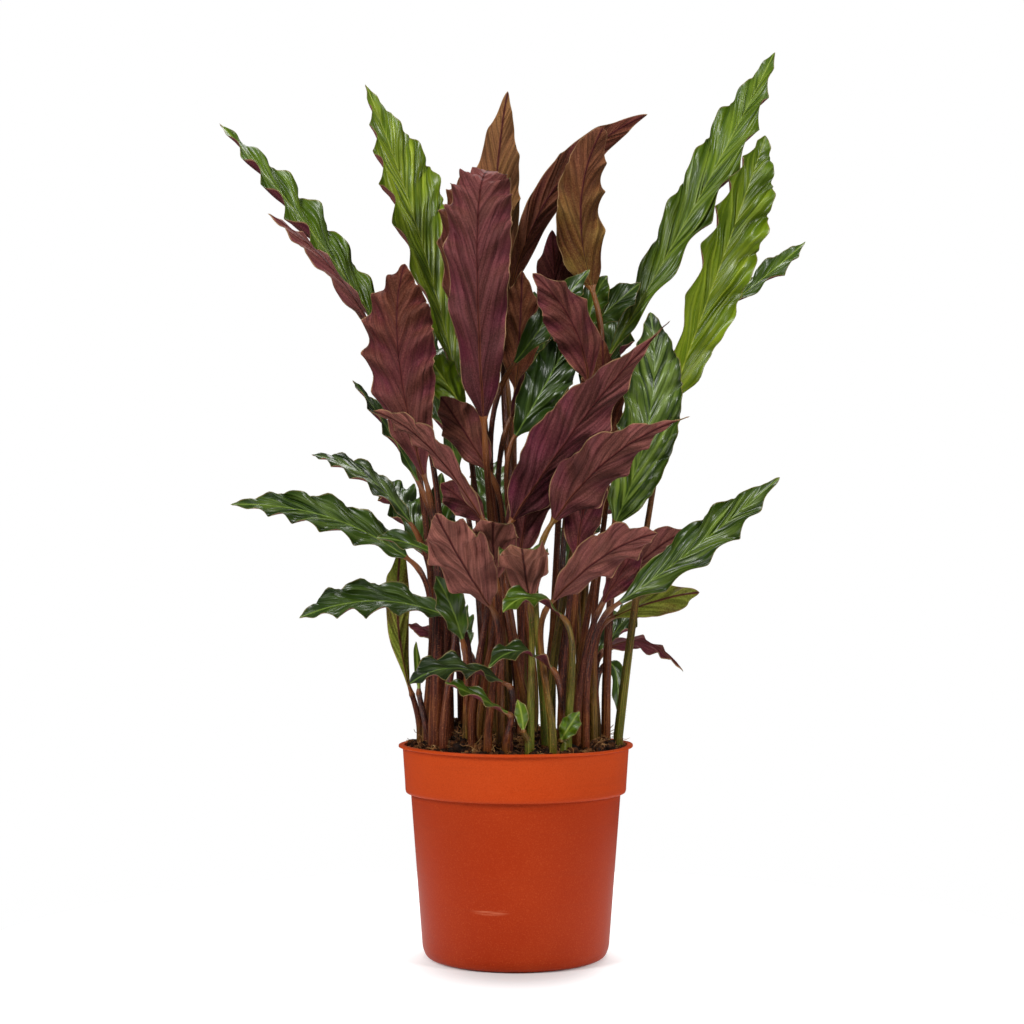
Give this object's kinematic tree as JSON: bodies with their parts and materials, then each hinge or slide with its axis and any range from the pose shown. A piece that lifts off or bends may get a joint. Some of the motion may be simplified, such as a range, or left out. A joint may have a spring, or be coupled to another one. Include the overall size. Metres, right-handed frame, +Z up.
{
  "type": "potted plant",
  "caption": "Potted prayer plant: long wavy leaves, green above and wine velvet beneath, on upright stalks in a round terracotta-coloured nursery pot of peat.",
  "frame": {"origin": "centre of the pot's flat bottom", "axes": "+Z up along the pot's axis; -Y is the side shown in the picture"},
  "size_m": [0.4632, 0.3184, 0.6975],
  "materials": {
    "pot_plastic": "satin moulded polypropylene",
    "peat": null,
    "leaf_green": null,
    "leaf_wine": null
  },
  "bodies": {
    "root": {"pot": "pot_plastic", "soil": "peat", "far_left_tall": "leaf_green", "left_second": "leaf_wine", "left_bright_tall": "leaf_green", "back_centre_tall": "leaf_wine", "centre_tall_purple": "leaf_wine", "centre_left_behind": "leaf_wine", "right_centre_olive": "leaf_wine", "centre_diagonal": "leaf_wine", "right_tall_green": "leaf_green", "right_bright": "leaf_green", "far_right_small": "leaf_green", "right_centre_dark": "leaf_wine", "centre_curl": "leaf_wine", "centre_green_a": "leaf_green", "centre_green_b": "leaf_green", "right_purple_upper": "leaf_wine", "right_purple_lower": "leaf_wine", "right_dark_wide": "leaf_green", "right_long_low": "leaf_green", "right_olive_low": "leaf_wine", "right_low_thin": "leaf_wine", "right_front_purple": "leaf_wine", "front_right_orange": "leaf_wine", "front_left_purple": "leaf_wine", "front_centre_purple": "leaf_wine", "left_purple": "leaf_wine", "left_curl": "leaf_wine", "left_dark_curl": "leaf_green", "left_grey_thin": "leaf_green", "left_long": "leaf_green", "left_small_green": "leaf_green", "left_low": "leaf_green", "left_olive": "leaf_wine", "front_low_dark": "leaf_green", "front_drip": "leaf_green", "front_bright": "leaf_green", "right_brown_behind": "leaf_wine", "mid_shade_a": "leaf_wine", "mid_shade_b": "leaf_wine", "left_yellow_curl": "leaf_green", "centre_left_brown": "leaf_wine", "centre_left_low": "leaf_wine", "right_mid_purple": "leaf_wine", "right_mid_twist": "leaf_wine", "centre_dark_green": "leaf_green", "centre_brown": "leaf_wine", "left_back_dark": "leaf_green", "rear_left_high": "leaf_green", "rear_centre_high": "leaf_green", "rear_right_high": "leaf_green", "rear_left_mid": "leaf_green", "rear_centre_mid": "leaf_green", "rear_right_mid": "leaf_green", "rear_left_low": "leaf_green", "rear_right_low": "leaf_green"}
  },
  "joints": []
}
